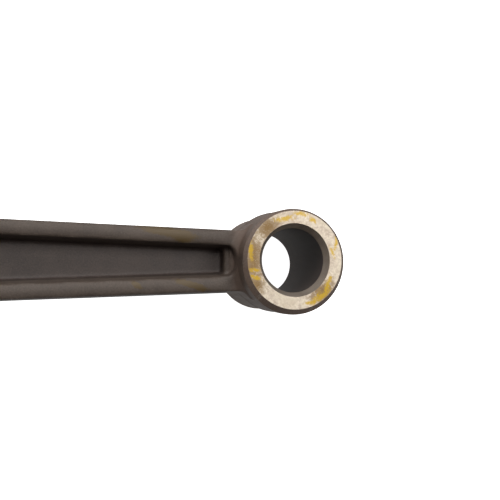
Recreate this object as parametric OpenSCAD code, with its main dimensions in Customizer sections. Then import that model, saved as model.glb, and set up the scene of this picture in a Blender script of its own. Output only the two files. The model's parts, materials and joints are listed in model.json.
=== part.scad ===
// Forged connecting rod for a small single-cylinder engine, with its caged roller
// big-end bearing, crankpin and thrust washers. Millimetres.
// The origin is the middle of the piston pin bore. +Z runs along both bores, and
// the shank runs along -X to the big end.

/* [Connecting rod] */
// Distance between the centres of the two bores
centre_distance = 140; // [130:1:190]

/* [Small end] */
// Diameter of the piston pin bore
pin_bore_d = 20; // [16:0.1:22]
// Length of the small end, face to face
small_end_w = 38; // [30:0.5:46]
// Diameter of the machined ring on each end face
small_face_d = 30.5; // [29:0.1:35]
// Radial growth of the chamfer at each mouth of the pin bore
pin_chamfer_r = 1.4; // [0.5:0.1:1.8]
// Depth of the chamfer at each mouth of the pin bore
pin_chamfer_z = 2.3; // [0.5:0.1:4]

/* [Shank] */
// Thickness of the I-section, along the bores
shank_t = 20; // [16:0.5:22]
// Width of the shank's taper, carried on to the small end's centre
shank_w_small = 18; // [16:0.1:22]
// Width of the shank's taper, carried on to the big end's centre
shank_w_big = 27.6; // [24:0.1:32]
// Width of the front face of each flange
flange_w = 4.7; // [3.9:0.1:6]
// Thickness of the web between the two pockets
web_t = 5.5; // [4:0.1:9]
// Slope of the pocket walls, in degrees
pocket_draft = 10; // [3:0.5:14]

/* [Big end] */
// Length of the big end, face to face
big_end_w = 24; // [22.5:0.5:30]
// Wall between the roller track and the outside, at the machined faces
big_wall = 6.5; // [5:0.1:9]
// Width of each oil slot in the big end's faces
oil_slot_w = 6; // [3:0.5:8]
// Depth of each oil slot in the big end's faces
oil_slot_depth = 2.5; // [1:0.5:4]

/* [Roller bearing] */
// Diameter of the crankpin's journal
journal_d = 28; // [26:0.5:34]
// Diameter of one roller
roller_d = 6; // [5:0.1:6.4]
// Length of one roller
roller_len = 16; // [12:0.5:18]
// Number of rollers
roller_count = 14; // [8:1:14]
// Width of the cage, along the bore
cage_w = 21.5; // [19.5:0.5:22]

/* [Crankpin] */
// Diameter of the two ends that press into the crank webs
pin_end_d = 26; // [22:0.5:27]
// Length of each press-fitted end
pin_end_len = 18; // [12:0.5:26]
// Diameter of the oil drilling along the crankpin
oil_bore_d = 8; // [5:0.5:12]
// Diameter of the oil hole out to the rollers
oil_hole_d = 3; // [2:0.5:5]

/* [Thrust washers] */
// Outside diameter of each washer
washer_d = 46; // [44:0.5:50]
// Thickness of each washer
washer_t = 1; // [0.8:0.1:2]

/* [Hidden] */
$fn = 96;
hull_fn = 32;
overcut = 1;

// Forging
parting_draft = 2.5;      // slope of each eye's outside, from its middle to its faces
edge_break = 0.65;        // broken edge round each machined face
small_flare_angle = 45;   // slope of the shoulders that join the shank to the small end
small_flare_fillet = 3;
big_flare_angle = 40;     // the same for the big end
big_flare_fillet = 15;
eye_fillet = 2;           // blend between the flanges and each eye
pocket_face_gap = 0.05;   // from the pocket's end to the small end's machined ring
pocket_big_land = 4;      // from the pocket's end to the big end, at the flange faces
pocket_foot = 1.15;       // extra slope at the foot of each pocket's ends
pocket_foot_h = 4.25;     // height of that foot above the web
pocket_corners = [0.5, 1.6, 5.5]; // corner radii at the web, the foot's top and the face
oil_slot_angle = 62;      // from the shank to each oil slot
track_chamfer = 0.8;

// Fits
roller_play = 0.02;       // radial clearance of a roller, on each side
cage_play = 0.3;          // radial clearance from the cage to the roller track
cage_bore_gap = 1.2;      // radial clearance from the cage to the journal
window_play = 0.1;        // clearance of a roller in its window, on each side
washer_play = 0.1;        // radial clearance of a washer on the journal
washer_gap = 0.15;        // running gap on each side of a washer
roller_chamfer = 0.4;
pin_chamfer = 1.5;
washer_chamfer = 0.25;
plug_depth = 1;           // from the crankpin's end to its plug
plug_len = 5;
plug_wall = 1.3;

// Derived sizes
small_face_r = small_face_d / 2;
small_half = small_end_w / 2;
track_r = journal_d / 2 + roller_d;
big_face_r = track_r + big_wall;
big_half = big_end_w / 2;
shank_half = shank_t / 2;
web_half = web_t / 2;
taper = (shank_w_big - shank_w_small) / 2 / centre_distance;
pocket_lean = tan(pocket_draft);
pitch_r = (track_r + journal_d / 2) / 2;
journal_half = big_half + washer_t + 2 * washer_gap;
crankpin_half = journal_half + pin_end_len;

function roller_name(i) = str("roller_", i < 9 ? "0" : "", i + 1);

// Outside radius of an eye at height z, below its broken edge
function eye_r(face_r, half, z) =
    face_r + edge_break + (half - edge_break - abs(z)) * tan(parting_draft);

// Half the shank's width at distance u from the small end's centre
function shank_half_w(u) = shank_w_small / 2 + u * taper;

// Ends of the pocket at height z, as distances from the small end's centre
function pocket_ends(z) =
    [small_face_r + pocket_face_gap + (small_half - z) * pocket_lean,
     centre_distance - eye_r(big_face_r, big_half, 0) - pocket_big_land
     + (z - shank_half) * pocket_lean];

module at_big_end() {
    translate([-centre_distance, 0, 0]) children();
}

module both_faces() {
    children();
    mirror([0, 0, 1]) children();
}

module both_sides() {
    children();
    mirror([0, 1, 0]) children();
}

// Solid eye: a barrel with draft to each side of the parting line
module eye(face_r, half) {
    edge_z = half - edge_break;
    rotate_extrude()
        polygon([[0, -half], [face_r, -half], [face_r + edge_break, -edge_z],
                 [eye_r(face_r, half, 0), 0],
                 [face_r + edge_break, edge_z], [face_r, half], [0, half]]);
}

// Plain hole with a chamfer of dr by dz at each mouth
module chamfered_hole(r, half, dr, dz) {
    rotate_extrude()
        polygon([[0, -half - overcut], [r + dr, -half - overcut], [r + dr, -half],
                 [r, -half + dz], [r, half - dz],
                 [r + dr, half], [r + dr, half + overcut], [0, half + overcut]]);
}

// Plan of one shoulder: a line that leaves the eye at the flare angle, then a concave
// fillet into the shank's edge. +X points from the eye along the shank.
module shoulder_plan(r, half_w, side_slope, angle, fillet) {
    side_angle = atan(side_slope);
    corner_x = (r / cos(angle) - half_w) / (tan(angle) + side_slope);
    corner = [corner_x, half_w + side_slope * corner_x];
    run = fillet * tan((angle + side_angle) / 2);
    on_eye = [r * sin(angle), r * cos(angle)];
    on_flare = corner + run * [-cos(angle), sin(angle)];
    on_shank = corner + run * [cos(side_angle), sin(side_angle)];
    fillet_centre = on_shank + fillet * [-sin(side_angle), cos(side_angle)];
    difference() {
        polygon([[0, 0], on_eye, on_flare, fillet_centre, on_shank, [on_shank[0], 0]]);
        translate(fillet_centre) circle(r = fillet);
    }
}

// Plan of the shank with its four shoulders
module shank_plan() {
    polygon([[0, -shank_w_small / 2], [0, shank_w_small / 2],
             [-centre_distance, shank_w_big / 2], [-centre_distance, -shank_w_big / 2]]);
    both_sides() mirror([1, 0])
        shoulder_plan(eye_r(small_face_r, small_half, 0), shank_w_small / 2, taper,
                      small_flare_angle, small_flare_fillet);
    both_sides() at_big_end()
        shoulder_plan(eye_r(big_face_r, big_half, 0), shank_w_big / 2, -taper,
                      big_flare_angle, big_flare_fillet);
}

// Blend between the flange faces and an eye
module eye_blend(face_r, half) {
    rise = min(eye_fillet, half - edge_break - shank_half);
    translate([0, 0, shank_half - overcut])
        cylinder(h = overcut, r = eye_r(face_r, half, shank_half) + rise);
    translate([0, 0, shank_half])
        cylinder(h = rise, r1 = eye_r(face_r, half, shank_half) + rise,
                 r2 = eye_r(face_r, half, shank_half + rise));
}

module flange_blends() {
    both_faces() intersection() {
        linear_extrude(small_half) shank_plan();
        union() {
            eye_blend(small_face_r, small_half);
            at_big_end() eye_blend(big_face_r, big_half);
        }
    }
}

// Recess between the flanges, which also scoops the flank of the small end
module pocket() {
    levels = [web_half, web_half + pocket_foot_h, small_half + edge_break];
    inward = [1, -1];
    hull() for (level = [0:2], end = [0, 1], side = [-1, 1]) {
        z = levels[level];
        corner = pocket_corners[level];
        foot = level == 0 ? pocket_foot : 0;
        reach = pocket_ends(z)[end] + inward[end] * foot;
        half_w = shank_half_w(reach) - flange_w + (z - shank_half) * pocket_lean;
        translate([-reach - inward[end] * corner, side * (half_w - corner), z])
            cylinder(h = 0.01, r = corner, $fn = hull_fn);
    }
}

// Grooves that let oil into the rollers, past the edges of the washers
module oil_slots() {
    both_faces() both_sides()
        rotate(oil_slot_angle)
            translate([track_r - overcut, -oil_slot_w / 2, big_half - oil_slot_depth])
                cube([big_wall + 3 * overcut, oil_slot_w, oil_slot_depth + overcut]);
}

module connecting_rod() {
    color([0.30, 0.27, 0.25])
    difference() {
        union() {
            eye(small_face_r, small_half);
            at_big_end() eye(big_face_r, big_half);
            linear_extrude(shank_t, center = true) shank_plan();
            flange_blends();
        }
        both_faces() pocket();
        chamfered_hole(pin_bore_d / 2, small_half, pin_chamfer_r, pin_chamfer_z);
        at_big_end() {
            chamfered_hole(track_r, big_half, track_chamfer, track_chamfer);
            oil_slots();
        }
    }
}

// Stepped pin: a journal for the rollers and washers, and two ends for the crank webs
module crankpin() {
    end_r = pin_end_d / 2;
    step = journal_d / 2 - end_r;
    color([0.72, 0.73, 0.75])
    at_big_end() difference() {
        rotate_extrude()
            polygon([[0, -crankpin_half], [end_r - pin_chamfer, -crankpin_half],
                     [end_r, -crankpin_half + pin_chamfer],
                     [end_r, -journal_half - step], [end_r + step, -journal_half],
                     [end_r + step, journal_half], [end_r, journal_half + step],
                     [end_r, crankpin_half - pin_chamfer],
                     [end_r - pin_chamfer, crankpin_half], [0, crankpin_half]]);
        translate([0, 0, -oil_hole_d])
            cylinder(h = crankpin_half + oil_hole_d + overcut, r = oil_bore_d / 2);
        rotate([0, 90, 0]) cylinder(h = journal_d, r = oil_hole_d / 2);
    }
}

// Press-in plug that closes the oil drilling
module crankpin_plug() {
    color([0.62, 0.55, 0.35])
    at_big_end() translate([0, 0, crankpin_half - plug_depth - plug_len])
        difference() {
            cylinder(h = plug_len, r = oil_bore_d / 2);
            translate([0, 0, plug_len / 2])
                cylinder(h = plug_len, r = oil_bore_d / 2 - plug_wall);
        }
}

module roller_cage() {
    window = [roller_d * 2, roller_d + 2 * window_play, roller_len + 2 * window_play];
    color([0.78, 0.76, 0.70])
    at_big_end() difference() {
        cylinder(h = cage_w, r = track_r - cage_play, center = true);
        cylinder(h = cage_w + overcut, r = journal_d / 2 + cage_bore_gap, center = true);
        for (i = [0:roller_count - 1])
            rotate(i * 360 / roller_count)
                translate([pitch_r, 0, 0]) cube(window, center = true);
    }
}

module roller(i) {
    r = roller_d / 2 - roller_play;
    half = roller_len / 2;
    color([0.80, 0.81, 0.83])
    at_big_end() rotate(i * 360 / roller_count) translate([pitch_r, 0, 0])
        rotate_extrude()
            polygon([[0, -half], [r - roller_chamfer, -half], [r, -half + roller_chamfer],
                     [r, half - roller_chamfer], [r - roller_chamfer, half], [0, half]]);
}

// Washer on the upper side of the big end
module thrust_washer() {
    washer_r = washer_d / 2;
    color([0.72, 0.50, 0.28])
    at_big_end() translate([0, 0, big_half + washer_gap]) difference() {
        rotate_extrude()
            polygon([[0, 0], [washer_r - washer_chamfer, 0], [washer_r, washer_chamfer],
                     [washer_r, washer_t - washer_chamfer],
                     [washer_r - washer_chamfer, washer_t], [0, washer_t]]);
        translate([0, 0, -overcut])
            cylinder(h = washer_t + 2 * overcut, r = journal_d / 2 + washer_play);
    }
}

connecting_rod();
crankpin();
crankpin_plug();
roller_cage();
thrust_washer();  // thrust_washer_upper
mirror([0, 0, 1]) thrust_washer();  // thrust_washer_lower
for (i = [0:roller_count - 1])
    roller(i);
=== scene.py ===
# %% [markdown]
# # A forged connecting rod with a caged roller big end
# The construction comes packed as a frame: every part is already in its place and at its
# real size, in metres. This lesson gives those parts their looks. It starts from the frame,
# makes the finishes, and then builds the pieces that need more surface than the
# construction holds: the forging with its rounded edges, and the turned parts of the
# bearing.

# %% Load the frame
import json
import math

import bmesh
import bpy
from mathutils import Matrix, Vector


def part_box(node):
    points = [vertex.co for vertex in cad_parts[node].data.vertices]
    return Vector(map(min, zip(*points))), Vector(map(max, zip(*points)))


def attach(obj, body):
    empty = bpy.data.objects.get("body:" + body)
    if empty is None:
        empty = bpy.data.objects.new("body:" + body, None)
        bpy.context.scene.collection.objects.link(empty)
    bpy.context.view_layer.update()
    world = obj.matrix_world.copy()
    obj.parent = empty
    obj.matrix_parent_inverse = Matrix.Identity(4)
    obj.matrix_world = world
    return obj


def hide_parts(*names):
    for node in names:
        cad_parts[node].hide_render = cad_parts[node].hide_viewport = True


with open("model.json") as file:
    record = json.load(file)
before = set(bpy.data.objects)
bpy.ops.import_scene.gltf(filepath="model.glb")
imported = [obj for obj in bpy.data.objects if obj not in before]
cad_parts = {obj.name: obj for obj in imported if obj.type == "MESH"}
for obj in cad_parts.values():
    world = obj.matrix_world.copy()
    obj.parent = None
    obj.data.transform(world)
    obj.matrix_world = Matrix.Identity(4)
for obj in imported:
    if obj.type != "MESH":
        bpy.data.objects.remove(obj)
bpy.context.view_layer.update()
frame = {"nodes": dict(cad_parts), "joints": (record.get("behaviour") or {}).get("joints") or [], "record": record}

# %% [markdown]
# ## Sizes
# The centre distance, the piston pin's bore and the heights of the faces are read from the
# frame, so the looks follow them. The values in capitals repeat the construction's own, and
# have to be changed with it. A size that only the looks have comes where it is first used.

# %% Read the sizes
MM = 0.001
mounts = {mount["name"]: mount for mount in frame["record"]["mounts"]}
joints = {joint["name"]: joint for joint in frame["joints"]}

WASHER_GAP = 0.15 * MM
SMALL_FACE_R = 15.25 * MM
SMALL_EDGE_R = 15.9 * MM
BOSS_DRAFT = math.tan(math.radians(2.5))
BIG_FACE_R = 26.5 * MM
TRACK_R = 20 * MM
SHANK_HALF = 10 * MM

small_centre = Vector((0, 0, 0))
big_centre = Vector(joints["crankpin_spin"]["pos_m"])
pin_bore_r = mounts["piston_pin_bore"]["dims"]["r_mm"] * MM
pin_bore_half = mounts["piston_pin_bore"]["dims"]["length_mm"] * MM / 2
small_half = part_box("connecting_rod")[1].z
big_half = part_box("thrust_washer_upper")[0].z - WASHER_GAP
crankpin_low, crankpin_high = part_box("crankpin")
print("centre distance", round(-big_centre.x / MM, 1), "mm, big end half", big_half / MM)

# %% [markdown]
# ## Writing shaders as sums
# A material is a graph of nodes, and most of its nodes do arithmetic. One small class wraps
# a node's output, so `1 - mask * 0.5` adds the Math nodes by itself. Colours go through
# `blend`, because a Math node would turn them grey. Every other node comes from `node`.

# %% A socket that can be used in sums
class Wire:
    def __init__(self, tree, socket):
        self.tree = tree
        self.socket = socket

    def node(self, kind, settings, inputs, output=0):
        """Adds a node: its settings first, then a value or a wire for each socket."""
        made = self.tree.nodes.new("ShaderNode" + kind)
        for name, value in settings.items():
            setattr(made, name, value)
        for name, value in inputs.items():
            if isinstance(value, Wire):
                self.tree.links.new(value.socket, made.inputs[name])
            else:
                made.inputs[name].default_value = value
        return Wire(self.tree, made.outputs[output])

    def maths(self, operation, *values):
        return self.node("Math", {"operation": operation}, dict(enumerate(values)))

    def __add__(self, other):
        return self.maths("ADD", self, other)

    def __sub__(self, other):
        return self.maths("SUBTRACT", self, other)

    def __rsub__(self, other):
        return self.maths("SUBTRACT", other, self)

    def __mul__(self, other):
        return self.maths("MULTIPLY", self, other)

    __radd__ = __add__
    __rmul__ = __mul__

    def spread(self, low, high):
        """0 below low, 1 above high, and a smooth rise between them."""
        ranges = {"From Min": low, "From Max": high}
        settings = {"interpolation_type": "SMOOTHSTEP"}
        return self.node("MapRange", settings, {"Value": self, **ranges})

    def blend(self, first, second):
        """The first colour where this is 0, and the second where it is 1."""
        colours = {0: self, 6: first, 7: second}
        return self.node("Mix", {"data_type": "RGBA"}, colours, 2)


def colour(red, green, blue):
    """A colour as a paint shop writes it, 0 to 255, made linear for the renderer."""
    def linear(value):
        value /= 255
        return value / 12.92 if value < 0.04045 else ((value + 0.055) / 1.055) ** 2.4

    return (linear(red), linear(green), linear(blue), 1)


# %% [markdown]
# ## Starting and ending a finish
# Every finish starts from where a point lies on its piece, in metres, and ends in one
# Principled shader. Object coordinates are the right place to start: a pattern then has its
# real size, and stays on its piece when the joint turns. Generated coordinates would stretch
# with the piece instead. The small functions wrap the nodes that several finishes share.

# %% Start a material
def new_material(name):
    """An empty material, and the wire of its object coordinates."""
    material = bpy.data.materials.new(name)
    material.use_nodes = True
    tree = material.node_tree
    tree.nodes.clear()
    place = Wire(tree, tree.nodes.new("ShaderNodeTexCoord").outputs["Object"])
    return material, place


def finish_material(place, **inputs):
    """Ends the graph in a Principled shader with the given sockets."""
    sockets = {name.replace("_", " "): value for name, value in inputs.items()}
    shader = place.node("BsdfPrincipled", {}, sockets)
    output = place.tree.nodes.new("ShaderNodeOutputMaterial")
    place.tree.links.new(shader.socket, output.inputs["Surface"])


def noise(place, size, detail=3.0, roughness=0.5, distortion=0.0):
    """Cloudy noise whose lumps are about size across."""
    inputs = {"Vector": place, "Scale": 1 / size, "Detail": detail,
              "Roughness": roughness, "Distortion": distortion}
    return place.node("TexNoise", {}, inputs)


def bump(height, distance, strength=1.0):
    inputs = {"Height": height, "Distance": distance, "Strength": strength}
    return height.node("Bump", {}, inputs)


def axis(place, name):
    """One coordinate of the place, X, Y or Z."""
    return place.node("SeparateXYZ", {}, {"Vector": place}, "XYZ".index(name))


def moved(place, centre):
    """The place, measured from a centre."""
    inputs = {"Vector": place, "Location": centre}
    return place.node("Mapping", {"vector_type": "TEXTURE"}, inputs)


def patches(place, spots, ragged, edge):
    """A mask of oval patches with ragged outlines. A spot is its centre, half-size and turn."""
    mask = None
    for centre, size, turn in spots:
        oval = place.node("Mapping", {"vector_type": "TEXTURE"}, {
            "Vector": place, "Location": Vector(centre) * MM, "Scale": Vector(size) * MM,
            "Rotation": (0, 0, math.radians(turn))})
        far = oval.node("VectorMath", {"operation": "LENGTH"}, {"Vector": oval}, 1)
        patch = 1 - (far + ragged).spread(1 - edge, 1 + edge)
        mask = patch if mask is None else mask.maths("MAXIMUM", mask, patch)
    return mask


# %% [markdown]
# ## The forging's skin
# A forged rod leaves the die with a scaly skin, is shot-blasted, and often gets a dark
# phosphate coat. Close up it is a fine grain. Darker copies of the grain are painted shade in
# the pockets and on the steep walls above the ledges. The convex edges are lighter, partly
# from wear and partly as a painted highlight, and the skin grows lighter towards the small
# end. Brown stains are left where rust proofing has dried. An image of a real forging would
# give this too, but noise has no seams and no limit to its detail. The grain and the dents
# are noise at two sizes. The stains are soft patches whose outline noise makes ragged.

# %% Forged skin
SKIN_DARK = colour(66, 56, 49)
SKIN_LIGHT = colour(90, 78, 69)
# Darker copies of the grain, used as painted shade in the pockets and the scoops
SKIN_PAINTED_SHADE_DARK = colour(50, 41, 37)
SKIN_PAINTED_SHADE_LIGHT = colour(73, 62, 56)
# Lighter edge colour: partly wear, partly a painted highlight
SKIN_EDGE_WEAR_AND_HIGHLIGHT = colour(150, 139, 128)
# A lighter colour that the skin takes towards the small end
SKIN_SMALL_END = colour(112, 92, 80)
STAIN_BROWN = colour(80, 62, 28)

# Centre, half-size and turn of each dried stain on the flanges, in millimetres and degrees
FLANGE_STAINS = [
    ((-37.5, 8.6, 10), (9.5, 1.5, 6), -9), ((-33, 7.2, 10), (3.6, 1.7, 6), 0),
    ((-47.8, -7.6, 10), (1.9, 0.9, 6), -30), ((-31, -7.4, 10), (5.4, 1.0, 6), -14),
    ((-28.5, -8.4, 10), (2.6, 0.8, 6), -20)]

# The steep wall above each pocket's ledge, which painted shade darkens
SCOOP_SHADE = [((-18.2, 0, 0), (2.1, 4.7, 60), 0)]


def forged_skin():
    material, place = new_material("forged_skin")
    grain = noise(place, 0.55 * MM, 6, 0.65)
    dents = noise(place, 5 * MM, 4, 0.55)
    cloud = noise(place, 20 * MM, 3, 0.5)
    specks = noise(place, 0.35 * MM, 2, 0.5).spread(0.68, 0.76)
    ragged = (noise(place, 1.4 * MM, 5, 0.7) - 0.5) * 1.5
    stained = patches(place, FLANGE_STAINS, ragged, 0.25)
    rim = place.node("NewGeometry", {}, {}, 7)
    # Lighter at convex edges: partly edge wear, partly a painted highlight
    edge_wear_and_highlight = rim.spread(0.52, 0.60) * grain.spread(0.35, 0.6) * 0.4
    # Painted shade: below the flanges' faces the grain takes its darker copy
    height = axis(place, "Z").maths("ABSOLUTE", axis(place, "Z"))
    above_painted_shade = height.spread(4.2 * MM, 6.4 * MM)
    # Lighter towards the small end
    toward_small_end = axis(place, "X").spread(-19 * MM, -15 * MM) * 0.55
    base = (grain * 0.55 + dents * 0.25 + cloud * 0.2).spread(0.32, 0.68)
    shaded_grain = base.blend(SKIN_PAINTED_SHADE_DARK, SKIN_PAINTED_SHADE_LIGHT)
    base = above_painted_shade.blend(shaded_grain, base.blend(SKIN_DARK, SKIN_LIGHT))
    # Painted shade on the steep wall above each ledge
    scoop_shade_mask = patches(place, SCOOP_SHADE, 0, 0.15) * height.spread(7.4 * MM, 8.2 * MM)
    base = toward_small_end.blend(base, SKIN_SMALL_END)
    base = (scoop_shade_mask * 0.4).blend(base, SKIN_PAINTED_SHADE_DARK)
    base = edge_wear_and_highlight.maths("MAXIMUM", edge_wear_and_highlight, specks * 0.25).blend(base, SKIN_EDGE_WEAR_AND_HIGHLIGHT)
    base = (stained * 0.85).blend(base, STAIN_BROWN)
    rough = 0.44 + grain * 0.18 + dents * 0.1 - stained * 0.1
    relief = bump(grain * 0.6 + dents * 1.2, 0.05 * MM, 0.8)
    finish_material(place, Base_Color=base, Roughness=rough, Metallic=0.15, Normal=relief)
    return material


skin = forged_skin()
print("forged skin:", len(skin.node_tree.nodes), "nodes")

# %% [markdown]
# ## The machined rings
# The end faces are the only bright places on the rod. A facing tool leaves fine rings
# about the bore, which show as a silky sheen, and old oil has dried on them in yellow and
# ochre patches. The rings could be modelled as grooves, but they are far too fine to be
# worth their faces, so they are noise on the distance from the bore's centre. The patches
# are ovals with ragged outlines, and the largest lies towards the shank.

# %% Turned faces
FACE_STEEL = colour(228, 216, 196)
FACE_GREY = colour(176, 157, 138)
OIL_YELLOW = colour(198, 160, 26)
OIL_OCHRE = colour(128, 96, 42)

# Centre, half-size and turn of each oil patch on the small end's faces
OCHRE_PATCHES = [
    ((-13.4, 0.5, 0), (3.2, 8.5, 40), 0), ((-12.2, -7.5, 0), (2.4, 3.2, 40), 35),
    ((-9.0, 9.6, 0), (3.0, 4.6, 40), -45),
    ((9.0, -10.2, 0), (5.0, 3.2, 40), 48)]
YELLOW_PATCHES = [
    ((-3.4, 12.7, 0), (3.4, 0.8, 40), 8), ((2.4, 14.2, 0), (2.4, 0.8, 40), -6),
    ((5.8, 12.4, 0), (1.2, 0.7, 40), -35), ((13.4, 5.4, 0), (0.6, 2.6, 40), -12),
    ((12.2, 2.6, 0), (0.5, 1.8, 40), 20), ((6.6, -12.2, 0), (0.8, 2.6, 40), -30),
    ((8.6, -11.4, 0), (0.8, 3.4, 40), -52), ((10.6, -7.6, 0), (0.8, 2.8, 40), -20),
    ((4.6, -13.2, 0), (1.8, 0.6, 40), 10), ((-14.3, 3.2, 0), (0.8, 3.2, 40), 8),
    ((-13.0, -3.2, 0), (1.6, 0.7, 40), 0), ((-12.6, -5.4, 0), (2.0, 0.6, 40), -20)]


def turned_face():
    material, place = new_material("turned_face")
    flat = place.node("VectorMath", {"operation": "MULTIPLY"}, {0: place, 1: (1, 1, 0)})
    radius = flat.node("VectorMath", {"operation": "LENGTH"}, {"Vector": flat}, 1)
    turning = noise(place.node("CombineXYZ", {}, {"X": radius}), 0.14 * MM, 3, 0.6)
    cloud = noise(place, 1.3 * MM, 6, 0.7, 0.6)
    film = noise(place, 5 * MM, 6, 0.66, 0.6)
    ragged = (noise(place, 1.3 * MM, 7, 0.78, 0.7) - 0.5) * 3.6
    ochre = patches(place, OCHRE_PATCHES, ragged * 0.7, 0.55)
    yellow = patches(place, YELLOW_PATCHES, ragged, 0.4)
    base = (cloud * 0.5 + film * 0.5).spread(0.36, 0.62).blend(FACE_GREY, FACE_STEEL)
    thin = film.spread(0.46, 0.7) * 0.36
    stain = thin.maths("MAXIMUM", thin, ochre * (cloud.spread(0.3, 0.6) * 0.3 + 0.7))
    base = stain.blend(base, OIL_OCHRE)
    base = (yellow * 0.85).blend(base, OIL_YELLOW)
    rough = 0.4 + cloud * 0.14 + ochre * 0.1
    relief = bump(turning * 0.5 + cloud * 0.5, 0.02 * MM, 0.6)
    finish_material(place, Base_Color=base, Roughness=rough, Metallic=0.35, Normal=relief)
    return material


face_finish = turned_face()
print("turned face:", len(face_finish.node_tree.nodes), "nodes")

# %% [markdown]
# ## Ground steel, and the other metals
# The bores, the crankpin and the rollers are ground: a fine grain that runs round the axis,
# too small to feel. The bores are coloured dark and dull, as painted shade for the dark
# inside of a bore. The grain is noise on the height alone, so that it makes rings. These
# metals differ only in colour, gloss and place, so one function makes them all.

# %% Ground and turned metals
def ground_metal(name, light, dark, roughness, centre=(0, 0, 0), metallic=0.9):
    material, place = new_material(name)
    here = moved(place, centre)
    along = axis(here, "Z")
    lines = noise(place.node("CombineXYZ", {}, {"X": along}), 0.25 * MM, 3, 0.7)
    cloud = noise(here, 6 * MM, 4, 0.6)
    speck = noise(here, 0.8 * MM, 2, 0.5)
    base = (cloud * 0.5 + lines * 0.5).spread(0.2, 0.8).blend(dark, light)
    rough = roughness + cloud * 0.08 - lines * 0.05
    relief = bump(lines * 0.9 + speck * 0.1, 0.003 * MM, 0.4)
    finish_material(place, Base_Color=base, Roughness=rough, Metallic=metallic, Normal=relief)
    return material


# Painted shade: the bores are coloured dark and dull, so their inside stays dark
bore_painted_shade = ground_metal("ground_bore", colour(64, 54, 50), colour(48, 39, 36), 0.62,
                           metallic=0.1)
chamfer_finish = ground_metal("bored_chamfer", colour(178, 165, 152), colour(130, 117, 106),
                              0.36, metallic=0.5)
track_finish = ground_metal("ground_track", colour(150, 146, 142), colour(96, 90, 86), 0.3,
                            big_centre)
pin_finish = ground_metal("ground_pin", colour(196, 196, 198), colour(150, 150, 152), 0.2,
                          big_centre)
roller_finish = ground_metal("lapped_roller", colour(205, 206, 208), colour(170, 170, 173),
                             0.14)
cage_finish = ground_metal("cage_steel", colour(150, 146, 138), colour(118, 113, 106), 0.34,
                           big_centre)
bronze_finish = ground_metal("washer_bronze", colour(190, 142, 88), colour(146, 100, 58),
                             0.3, big_centre)
brass_finish = ground_metal("plug_brass", colour(200, 172, 104), colour(160, 130, 70), 0.3,
                            big_centre)
print("metals:", len(bpy.data.materials), "finishes so far")

# %% [markdown]
# ## Making meshes
# Four helpers serve all the pieces. `piece_from` wraps a bmesh as an object. `settle` turns
# an object's modifiers into its mesh. `crease` shades a piece smooth but keeps its corners
# crisp. `turned` spins an outline round the Z axis, as a lathe does: the outline's points
# are a radius and a height.

# %% Mesh helpers
CREASE_ANGLE = math.radians(32)
TURN_STEPS = 128
SAME_PLACE = 1e-7


def piece_from(name, shape, material):
    mesh = bpy.data.meshes.new(name)
    shape.to_mesh(mesh)
    shape.free()
    mesh.materials.append(material)
    piece = bpy.data.objects.new(name, mesh)
    bpy.context.scene.collection.objects.link(piece)
    return piece


def settle(piece):
    """Applies every modifier, so that the mesh holds the finished shape."""
    graph = bpy.context.evaluated_depsgraph_get()
    finished = bpy.data.meshes.new_from_object(piece.evaluated_get(graph))
    piece.modifiers.clear()
    piece.data = finished
    return piece


def crease(piece):
    """Smooth shading, with sharp edges at corners and where the material changes."""
    shape = bmesh.new()
    shape.from_mesh(piece.data)
    for face in shape.faces:
        face.smooth = True
    for edge in shape.edges:
        slots = {face.material_index for face in edge.link_faces}
        edge.smooth = len(slots) == 1 and edge.calc_face_angle(0) < CREASE_ANGLE
    shape.to_mesh(piece.data)
    shape.free()


def turned(outline, centre):
    """A closed turned solid. The outline starts and ends on the axis, or is a loop."""
    shape = bmesh.new()
    points = [shape.verts.new((radius, 0, height)) for radius, height in outline]
    edges = [shape.edges.new(pair) for pair in zip(points, points[1:])]
    if outline[0][0] > 0:
        edges.append(shape.edges.new((points[-1], points[0])))
    bmesh.ops.spin(shape, geom=points + edges, cent=(0, 0, 0), axis=(0, 0, 1),
                   angle=math.tau, steps=TURN_STEPS, use_merge=True)
    bmesh.ops.remove_doubles(shape, verts=shape.verts, dist=SAME_PLACE)
    bmesh.ops.translate(shape, verts=shape.verts, vec=centre)
    bmesh.ops.recalc_face_normals(shape, faces=shape.faces)
    return shape


# %% [markdown]
# ## The forging
# A real rod is forged as one lump, and only its end faces and bores are cut afterwards.
# The piece is made in the same order. First a copy of the construction's rod gets its bores
# filled and its faces raised, like a raw forging. Bevels on the construction's many edges
# could round it too, but they often fail where many edges meet.

# %% Fill an eye's bore
FACE_STOCK = 1 * MM


def add_core(shape, outline, centre):
    """Fills one eye's bore, and leaves stock above its faces."""
    core = turned(outline, centre)
    spare = bpy.data.meshes.new("spare")
    core.to_mesh(spare)
    core.free()
    shape.from_mesh(spare)
    bpy.data.meshes.remove(spare)


# %% [markdown]
# ## The ledges
# At the small end each pocket steps up to a narrow ledge before it meets the boss. The step
# is a short prism laid across the pocket: one outline, extruded sideways. Moving the
# vertices of the pocket's end would be harder to control, and the remesh joins the prism to
# the rest without a seam.

# %% Ledges at the pockets' ends
LEDGE_OUTLINE = [(-19.5, 2), (-19.3, 6.5), (-16.7, 7.4), (-15, 7.4), (-15, 2)]
LEDGE_HALF = 5.2 * MM


def add_ledges(shape):
    """The step at the small end of each pocket, as a prism across it."""
    for side in (-1, 1):
        corners = [shape.verts.new((x * MM, -LEDGE_HALF, side * z * MM))
                   for x, z in LEDGE_OUTLINE]
        face = shape.faces.new(corners)
        prism = bmesh.ops.extrude_face_region(shape, geom=[face])
        far_side = [part for part in prism["geom"] if isinstance(part, bmesh.types.BMVert)]
        bmesh.ops.translate(shape, verts=far_side, vec=(0, 2 * LEDGE_HALF, 0))
        bmesh.ops.recalc_face_normals(shape, faces=shape.faces[-len(corners) - 2:])


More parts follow.
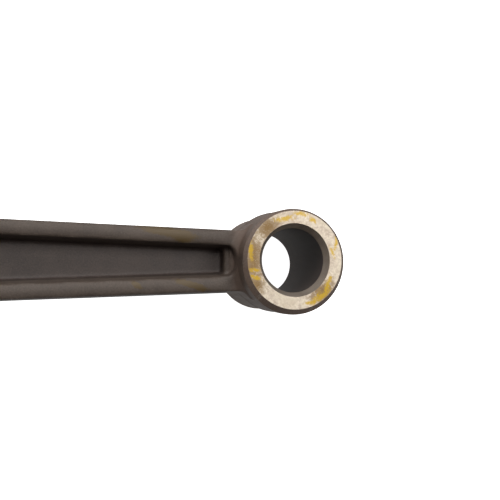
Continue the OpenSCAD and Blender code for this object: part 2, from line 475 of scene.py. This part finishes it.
# %% [markdown]
# ## One soft lump
# Remeshing the parts in small cubes joins them into one skin, and smoothing that skin gives
# every edge and corner the soft radius that a die leaves. Smaller cubes or fewer passes
# would keep the edges too sharp for a forging.

# %% The raw forging
VOXEL = 0.45 * MM
SMOOTH_FACTOR = 0.5
SMOOTH_PASSES = 4
COPY_DOUBLES = 1e-6


def raw_forging():
    shape = bmesh.new()
    shape.from_mesh(frame["nodes"]["connecting_rod"].data)
    bmesh.ops.remove_doubles(shape, verts=shape.verts, dist=COPY_DOUBLES)
    top = small_half + FACE_STOCK
    add_core(shape, [(0, -top), (SMALL_EDGE_R, -top), (SMALL_EDGE_R, top), (0, top)],
             small_centre)
    top = big_half + FACE_STOCK
    slope_r = BIG_FACE_R - FACE_STOCK
    add_core(shape, [(0, -top), (slope_r, -top), (BIG_FACE_R, -big_half),
                     (BIG_FACE_R, big_half), (slope_r, top), (0, top)], big_centre)
    add_ledges(shape)
    piece = piece_from("rod_forging", shape, skin)
    cubes = piece.modifiers.new("cubes", "REMESH")
    cubes.mode = "VOXEL"
    cubes.voxel_size = VOXEL
    soften = piece.modifiers.new("soften", "SMOOTH")
    soften.factor = SMOOTH_FACTOR
    soften.iterations = SMOOTH_PASSES
    return settle(piece)


forging = raw_forging()
print("raw forging:", len(forging.data.polygons), "faces")

# %% [markdown]
# ## The boss
# A forged boss is rarely true to its bore. Here the small end's upper edge stands a little
# to one side, and the boss narrows towards its lower face. Both are small moves of the
# vertices, which fade out where the boss meets the shank, so no seam is left.

# %% The off-centre boss
BOSS_UPPER_R = 16.45 * MM
BOSS_LOWER_R = 15.1 * MM
BOSS_SHIFT = Vector((-0.12, -0.5, 0)) * MM
SHIFT_STARTS = -2 * MM
CLEARS_SHANK_UP = (10.5 * MM, 13 * MM)
CLEARS_SHANK_ALONG = (-16.5 * MM, -11 * MM)
FADES_IN = (8 * MM, 13 * MM)
FADES_OUT = (19 * MM, 21 * MM)


def smooth_step(value, low, high):
    share = min(max((value - low) / (high - low), 0), 1)
    return share * share * (3 - 2 * share)


def boss_move(place):
    """How far a point of the small end's boss moves, from where the design has it."""
    radius = math.hypot(place.x, place.y)
    near = max(smooth_step(place.x, *CLEARS_SHANK_ALONG), smooth_step(place.z, *CLEARS_SHANK_UP))
    near *= smooth_step(radius, *FADES_IN) * (1 - smooth_step(radius, *FADES_OUT))
    height = smooth_step(place.z, -small_half, small_half)
    wanted = BOSS_LOWER_R + (BOSS_UPPER_R - BOSS_LOWER_R) * height
    designed = SMALL_EDGE_R + (small_half - abs(place.z)) * BOSS_DRAFT
    grow = near * (wanted / designed - 1)
    shift = BOSS_SHIFT * near * smooth_step(place.z, SHIFT_STARTS, small_half)
    return Vector((place.x * grow, place.y * grow, 0)) + shift


# %% [markdown]
# ## The flanges
# A flange comes out of the die slightly domed, which puts a soft highlight along its
# middle. The dome is a parabola across each flange. The shank's width at a place comes from
# the same taper as the construction's, so the dome stays in the middle of the flange.

# %% The crown of the flanges
FLANGE_W = 4.7 * MM
FLANGE_CROWN = 0.42 * MM
CROWN_LIMIT = 1.4
CROWN_BEGINS = (17 * MM, 22 * MM)
CROWN_ENDS = (-big_centre.x - 32 * MM, -big_centre.x - 27 * MM)
CROWN_SKIN = (SHANK_HALF - 1.5 * MM, SHANK_HALF - 0.3 * MM)
SHANK_W_SMALL = 18 * MM
SHANK_W_BIG = 27.6 * MM


def rod_half_w(distance):
    share = distance / -big_centre.x
    return (SHANK_W_SMALL + (SHANK_W_BIG - SHANK_W_SMALL) * share) / 2


def crown_move(place):
    """How far a flange's face sinks towards its edges, which leaves it slightly domed."""
    half_w = rod_half_w(-place.x)
    across = (abs(place.y) - half_w + FLANGE_W / 2) / (FLANGE_W / 2)
    along = smooth_step(-place.x, *CROWN_BEGINS)
    along *= 1 - smooth_step(-place.x, *CROWN_ENDS)
    face = smooth_step(abs(place.z), *CROWN_SKIN)
    drop = FLANGE_CROWN * min(across * across, CROWN_LIMIT) * along * face
    return Vector((0, 0, -math.copysign(drop, place.z)))


# %% [markdown]
# ## The sides
# The sides of a forging slope by a degree or two, so that it leaves the die, and the metal
# that squeezes out between the die's halves leaves a trimmed ridge all round. Both push the
# vertices outwards along their normals. The mesh is then thinned, because the flat places
# don't need such small faces.

# %% Draft and parting line
SIDE_SWELL = 0.25 * MM
SIDE_OUTER = (5.5 * MM, 8 * MM)
SIDEWAYS = (0.5, 0.9)
RIDGE_HEIGHT = 0.12 * MM
RIDGE_HALF = 1.2 * MM
RIDGE_SOFT = 0.7 * MM
FORGING_SHARE = 0.5


def shape_sides(piece):
    for vertex, normal in [(v, v.normal.copy()) for v in piece.data.vertices]:
        place = vertex.co.copy()
        level = abs(place.z)
        sideways = smooth_step(math.hypot(normal.x, normal.y), *SIDEWAYS)
        ridge = 1 - smooth_step(level, RIDGE_HALF, RIDGE_HALF + RIDGE_SOFT)
        swell = max(1 - level / SHANK_HALF, 0)
        outer = smooth_step(abs(place.y), *SIDE_OUTER)
        push = (RIDGE_HEIGHT * ridge + SIDE_SWELL * swell * outer) * sideways
        outward = Vector((normal.x, normal.y, 0)) * push
        vertex.co = place + outward + boss_move(place) + crown_move(place)
    thin = piece.modifiers.new("thin", "DECIMATE")
    thin.ratio = FORGING_SHARE
    settle(piece)


shape_sides(forging)
print("thinned forging:", len(forging.data.polygons), "faces")

# %% [markdown]
# ## Cutting
# The machining is one cut after another, as in the shop, and each cutter carries the finish
# that it leaves behind. The Manifold solver is quick, and it needs closed meshes, which a
# remeshed forging and plain prisms and turned cutters give.

# %% Cutters
CLEAR = 5 * MM


def box_shape(low, high):
    shape = bmesh.new()
    size = Vector(high) - Vector(low)
    middle = (Vector(high) + Vector(low)) / 2
    matrix = Matrix.Translation(middle) @ Matrix.Diagonal((*size, 1))
    bmesh.ops.create_cube(shape, size=1, matrix=matrix)
    return shape


def cut(piece, shape, material):
    cutter = piece_from("cutter", shape, material)
    step = piece.modifiers.new("cut", "BOOLEAN")
    step.operation = "DIFFERENCE"
    step.solver = "MANIFOLD"
    step.material_mode = "TRANSFER"
    step.object = cutter
    settle(piece)
    bpy.data.objects.remove(cutter)


# %% [markdown]
# ## The scoops
# Above each ledge the die leaves a rounded hollow in the shoulder. It could be part of the
# raw forging, but the smoothing would blur its rim, so it is cut afterwards, by a prism
# whose front is half an ellipse.

# %% The scoops above the pockets' ledges
SCOOP_BACK = -24
SCOOP_FRONT = -19.2
SCOOP_ROUND = 2.9
SCOOP_HALF = 4.4
SCOOP_STEPS = 8
SCOOP_LOW = 7.45 * MM
SCOOP_HIGH = 17.6 * MM


def scoop_shape(side):
    """A pocket's rounded end, cut upwards from the ledge."""
    turns = [math.pi * (step / SCOOP_STEPS - 0.5) for step in range(SCOOP_STEPS + 1)]
    plan = [(SCOOP_FRONT + SCOOP_ROUND * math.cos(turn), SCOOP_HALF * math.sin(turn))
            for turn in turns]
    plan = [(SCOOP_BACK, -SCOOP_HALF), *plan, (SCOOP_BACK, SCOOP_HALF)]
    shape = bmesh.new()
    corners = [shape.verts.new((x * MM, y * MM, side * SCOOP_LOW)) for x, y in plan]
    floor = shape.faces.new(corners)
    prism = bmesh.ops.extrude_face_region(shape, geom=[floor])
    roof = [part for part in prism["geom"] if isinstance(part, bmesh.types.BMVert)]
    bmesh.ops.translate(shape, verts=roof, vec=(0, 0, side * (SCOOP_HIGH - SCOOP_LOW)))
    bmesh.ops.recalc_face_normals(shape, faces=shape.faces)
    return shape


for side in (-1, 1):
    cut(forging, scoop_shape(side), skin)
print("with scoops:", len(forging.data.polygons), "faces")

# %% [markdown]
# ## Faces and bores
# The four end faces are turned flat first, because the chamfers are measured from them. Then
# each eye is bored, and a wide tool breaks the edge at both mouths. A chamfer that is cut as
# a cone has an even width all round, which a bevel on the cut mesh may not.

# %% Machining
PIN_CHAMFER_R = 1.4 * MM
TRACK_CHAMFER = 0.8 * MM


def cut_faces(piece, centre, radius, half):
    for side in (-1, 1):
        near, far = sorted((side * half, side * (half + CLEAR)))
        low = (centre.x - radius, -radius, near)
        high = (centre.x + radius, radius, far)
        cut(piece, box_shape(low, high), face_finish)


def hole_ends(radius, half, growth, depth):
    """The two chamfers of a hole, as one turned cutter."""
    top = half + CLEAR
    mouth = radius + growth * (1 + CLEAR / depth)
    waist = radius - growth
    return [(0, -top), (mouth, -top), (waist, -half + 2 * depth),
            (waist, half - 2 * depth), (mouth, top), (0, top)]


def drill(piece, centre, radius, half, finish):
    top = half + CLEAR
    outline = [(0, -top), (radius, -top), (radius, top), (0, top)]
    cut(piece, turned(outline, centre), finish)


cut_faces(forging, small_centre, SMALL_FACE_R + CLEAR, small_half)
cut_faces(forging, big_centre, BIG_FACE_R + CLEAR, big_half)
drill(forging, small_centre, pin_bore_r, small_half, bore_painted_shade)
chamfer_depth = small_half - pin_bore_half
cut(forging, turned(hole_ends(pin_bore_r, small_half, PIN_CHAMFER_R, chamfer_depth),
                    small_centre), chamfer_finish)
drill(forging, big_centre, TRACK_R, big_half, track_finish)
cut(forging, turned(hole_ends(TRACK_R, big_half, TRACK_CHAMFER, TRACK_CHAMFER),
                    big_centre), track_finish)
print("machined forging:", len(forging.data.polygons), "faces")

# %% [markdown]
# ## The lands
# The facing tool also turns a short cone below the small end's rings, so that the bright
# ring is round and true to the bore, however the forging lies. The dark band outside it is
# then wide on one side and thin on the other.

# %% Lands round the small end's rings
LAND_REACH = 1.9 * MM
LAND_LOWER_R = 14.9 * MM
LAND_OVERLAP = 1 * MM


def cut_land(piece, radius, side):
    start = radius - LAND_OVERLAP
    end = radius + LAND_REACH
    high = small_half + LAND_OVERLAP
    shape = turned([(start, side * high), (end, side * (small_half - LAND_REACH)),
                    (end, side * high)], small_centre)
    cut(piece, shape, skin)


cut_land(forging, SMALL_FACE_R, 1)
cut_land(forging, LAND_LOWER_R, -1)
print("with lands:", len(forging.data.polygons), "faces")

# %% [markdown]
# ## The oil slots
# Oil mist reaches the rollers through two shallow slots in each face of the big end. A slot
# is milled straight out from the track, so the cutter is a box that is turned about the
# crankpin. The finished forging then rides with the rod's body and takes the place of the
# construction's rod.

# %% Oil slots, and the finished forging
SLOT_WIDTH = 6 * MM
SLOT_DEPTH = 2.5 * MM
SLOT_ANGLE = math.radians(62)


def slot_shape(side, turn):
    low = (TRACK_R - CLEAR / 2, -SLOT_WIDTH / 2, big_half - SLOT_DEPTH)
    high = (BIG_FACE_R + CLEAR, SLOT_WIDTH / 2, big_half + CLEAR)
    shape = box_shape(low, high)
    place = Matrix.Translation(big_centre) @ Matrix.Rotation(turn, 4, "Z")
    bmesh.ops.transform(shape, matrix=place, verts=shape.verts)
    if side < 0:
        bmesh.ops.scale(shape, vec=(1, 1, -1), verts=shape.verts)
        bmesh.ops.reverse_faces(shape, faces=shape.faces)
    return shape


for side in (-1, 1):
    for turn in (-SLOT_ANGLE, SLOT_ANGLE):
        cut(forging, slot_shape(side, turn), track_finish)
crease(forging)
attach(forging, "rod")
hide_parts("connecting_rod")
print("forging:", len(forging.data.polygons), "faces")

# %% [markdown]
# ## The bearing and the crankpin
# These parts are turned and ground, and the construction already has their true cylinders
# and chamfers. Building them again would only risk a different fit, so they keep their own
# mesh, and each gets the finish of its metal: hard steel where it rolls, bronze where it
# rubs, and brass for the plug.

# %% Finishes of the parts that keep their own mesh
KEPT_FINISHES = {
    "crankpin": pin_finish, "crankpin_plug": brass_finish, "roller_cage": cage_finish,
    "thrust_washer_upper": bronze_finish, "thrust_washer_lower": bronze_finish}
kept = {name: node for name, node in frame["nodes"].items() if name != "connecting_rod"}
for name, node in kept.items():
    node.data.materials.clear()
    node.data.materials.append(KEPT_FINISHES.get(name, roller_finish))
print("parts that keep their mesh:", len(kept))

# %% [markdown]
# ## The table
# The rod lies on its side on a white table. The crankpin's ends stand out further than the
# small end does, so the rod leans a little: the table's plane passes under the low rims of
# both. The table is a light table, as for catalogue pictures: it glows white by itself, so
# no shadow shows on it. So much light from below would wash out the rod's sides, so the
# table lights nothing, and a dimmer sheet just under it, which the camera doesn't see,
# gives the rod its soft light from below.

# %% The table and the sheet under it
TABLE_SIZE = 6.0
TABLE_GLOW = 1.1
BOUNCE_GLOW = 0.4
BOUNCE_DROP = 1 * MM
PIN_END_CHAMFER = 2.5 * MM


def glowing(name, strength):
    material, place = new_material(name)
    finish_material(place, Base_Color=(0.9, 0.9, 0.9, 1), Roughness=0.9,
                    Emission_Color=(1, 1, 1, 1), Emission_Strength=strength)
    return material


low_rim = Vector((crankpin_high.x - PIN_END_CHAMFER, 0, crankpin_low.z))
high_rim = Vector((SMALL_FACE_R, 0, -small_half))
slope = math.atan2(high_rim.z - low_rim.z, high_rim.x - low_rim.x)


def flat_sheet(name, drop, material):
    shape = bmesh.new()
    bmesh.ops.create_grid(shape, x_segments=1, y_segments=1, size=TABLE_SIZE / 2)
    place = Matrix.Translation(low_rim - Vector((0, 0, drop)))
    bmesh.ops.transform(shape, verts=shape.verts,
                        matrix=place @ Matrix.Rotation(-slope, 4, "Y"))
    sheet = piece_from(name, shape, material)
    return sheet


table = flat_sheet("table", 0, glowing("pale_table", TABLE_GLOW))
table.visible_diffuse = False
table.visible_glossy = False
bounce = flat_sheet("bounce", BOUNCE_DROP, glowing("pale_bounce", BOUNCE_GLOW))
bounce.visible_camera = False
print("the rod leans by", round(math.degrees(slope), 2), "degrees")

# %% [markdown]
# ## The light
# Three large lamps light the rod softly, as boxes of cloth do in a studio. The key stands
# above and to one side, so one wall of each pocket is in shade. The sheen stands past the
# small end, where it brightens the machined ring. The corner lamp is low, on the key's side
# and towards the big end. A sun lamp would be simpler, but its shadows have harder edges.
# A faint white sky fills the rest.

# %% Light
SKY_STRENGTH = 0.06
scene = bpy.context.scene
scene.view_settings.view_transform = "Standard"
world = bpy.data.worlds.new("studio")
world.use_nodes = True
sky = world.node_tree.nodes["Background"].inputs
sky["Color"].default_value = (1, 1, 1, 1)
sky["Strength"].default_value = SKY_STRENGTH
scene.world = world


def soft_light(name, place, target, size, power):
    lamp = bpy.data.lights.new(name, "AREA")
    lamp.shape = "RECTANGLE"
    lamp.size, lamp.size_y = size
    lamp.energy = power
    lamp_object = bpy.data.objects.new(name, lamp)
    lamp_object.location = place
    back = Vector(place) - Vector(target)
    lamp_object.rotation_euler = back.to_track_quat("Z", "Y").to_euler()
    scene.collection.objects.link(lamp_object)


soft_light("key", (-0.05, 0.5, 1.0), (-0.04, 0, 0), (0.9, 0.5), 7.4)
soft_light("sheen", (0.62, 0.12, 1.1), (0, 0, 0), (0.4, 0.5), 4.2)
soft_light("corner", (-0.6, 0.85, 0.5), (-0.04, 0, 0), (0.6, 0.4), 6.5)
print("lamps:", len(bpy.data.lights))

# %% [markdown]
# ## The camera
# A long lens from close by looks down on the small end and along the shank, so the ring and
# its bore show as ovals, and the rod runs out of the picture towards the big end.

# %% Camera
CAMERA_PLACE = (-0.12007, -0.01367, 0.37785)
CAMERA_TURN = (0.0455, -0.2860, -0.0038)
CAMERA_LENS = 88.37
SENSOR_WIDTH = 36
NEAREST_SEEN = 0.01
camera_data = bpy.data.cameras.new("camera")
camera_data.lens = CAMERA_LENS
camera_data.sensor_width = SENSOR_WIDTH
camera_data.clip_start = NEAREST_SEEN
camera = bpy.data.objects.new("camera", camera_data)
camera.location = CAMERA_PLACE
camera.rotation_euler = CAMERA_TURN
scene.collection.objects.link(camera)
scene.camera = camera
print("camera", round(Vector(CAMERA_PLACE).length / MM), "mm from the small end")
